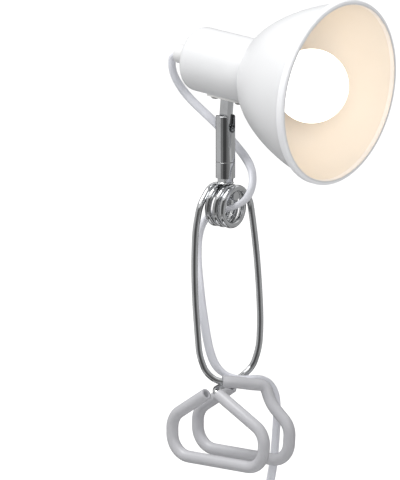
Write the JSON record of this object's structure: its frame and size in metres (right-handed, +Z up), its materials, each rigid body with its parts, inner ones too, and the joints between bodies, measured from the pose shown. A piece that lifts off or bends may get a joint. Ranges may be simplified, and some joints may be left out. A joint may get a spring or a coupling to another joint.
{
  "type": "clip on reading lamp",
  "caption": "Clip-on reading lamp: bell shade with a globe bulb on a tilting, swivelling chrome barrel, carried by a sprung wire clip with sleeved triangular jaws, and a tied-up supply cord",
  "frame": {"origin": "on the top edge of the clipped board, midway between the two jaws and under the spring coil", "axes": "+Z up, +X along the board's edge and the way the shade faces, -Y the front of the board"},
  "size_m": [0.1375, 0.114, 0.4861],
  "materials": {
    "white_enamel": "satin white powder coat",
    "chrome": "polished chrome plate",
    "sleeve_pvc": "pale grey-white soft PVC, semi-matt",
    "cord_pvc": "white PVC sheath with a cool tint",
    "white_plastic": "white moulded plastic",
    "holder_plastic": "off-white heat-proof plastic",
    "opal": "opal diffuser, lit",
    "brass": "plain brass",
    "nickel": "nickel plate",
    "steel": "zinc-plated steel",
    "board": "white solder mask",
    "black_glass": "dark vitreous insulator"
  },
  "bodies": {
    "base": {"lower_barrel": "chrome", "swivel_spindle": "steel", "swivel_washer": "steel", "saddle_washer": "chrome", "lock_nut": "chrome", "tee_stud": "chrome", "spring_coil": "chrome", "cord_at_arm": "cord_pvc", "cord_behind_board": "cord_pvc", "cord_hank": "cord_pvc", "cord_tie": "white_plastic", "cord_tail": "cord_pvc", "switch_front_shell": "white_plastic", "switch_rear_shell": "white_plastic", "switch_screws": "steel", "switch_contacts": "brass", "cord_at_plug": "cord_pvc", "plug_body": "white_plastic", "plug_pins": "nickel"},
    "swivel": {"upper_barrel": "chrome", "tilt_pin": "chrome", "friction_washers": "steel", "swivel_grub_screw": "steel", "cord_at_barrel": "cord_pvc"},
    "head": {"shade": "white_enamel", "shade_ring": "holder_plastic", "lamp_cup": "white_enamel", "neck_bracket": "chrome", "bracket_screws": "steel", "bracket_nuts": "steel", "lampholder_body": "holder_plastic", "centre_contact": "brass", "thread_shell": "brass", "terminal_screws": "steel", "threaded_nipple": "steel", "nipple_nut": "steel", "cord_gland": "white_plastic", "gland_screw": "steel", "lead_cores": "cord_pvc", "bulb_tip_contact": "nickel", "bulb_insulator": "black_glass", "bulb_cap": "nickel", "bulb_globe": "opal", "bulb_collar": "white_plastic", "bulb_led_board": "board", "cord_at_head": "cord_pvc"},
    "front_arm": {"front_arm_wire": "chrome", "rear_jaw_sleeve": "sleeve_pvc"},
    "rear_arm": {"rear_arm_wire": "chrome", "front_jaw_sleeve": "sleeve_pvc"},
    "rocker": {"switch_rocker": "white_plastic"}
  },
  "joints": [
    {"name": "barrel_swivel", "type": "hinge", "parent": "base", "child": "swivel", "pos_m": [0, 0, 0.143], "axis": [0, 0, 1], "range_deg": [-170, 170], "deforming": ["cord_at_barrel"]},
    {"name": "head_tilt", "type": "hinge", "parent": "swivel", "child": "head", "pos_m": [0, 0, 0.1675], "axis": [0, 1, 0], "range_deg": [-80, 55], "deforming": ["cord_at_head"]},
    {"name": "front_arm_squeeze", "type": "hinge", "parent": "base", "child": "front_arm", "pos_m": [0, 0, 0.116], "axis": [1, 0, 0], "range_deg": [-3.1, 4.4], "stiffness_Nm_per_rad": 14, "deforming": ["spring_coil", "cord_at_arm", "cord_behind_board"]},
    {"name": "rear_arm_squeeze", "type": "hinge", "parent": "base", "child": "rear_arm", "pos_m": [0, 0, 0.116], "axis": [1, 0, 0], "range_deg": [-4.4, 3.1]},
    {"name": "switch_rock", "type": "hinge", "parent": "base", "child": "rocker", "pos_m": [0.054, 0.0279, -0.118], "axis": [1, 0, 0], "range_deg": [0, 12]}
  ],
  "couplings": [
    {"joint": "rear_arm_squeeze", "follows": "front_arm_squeeze", "ratio": -1}
  ]
}
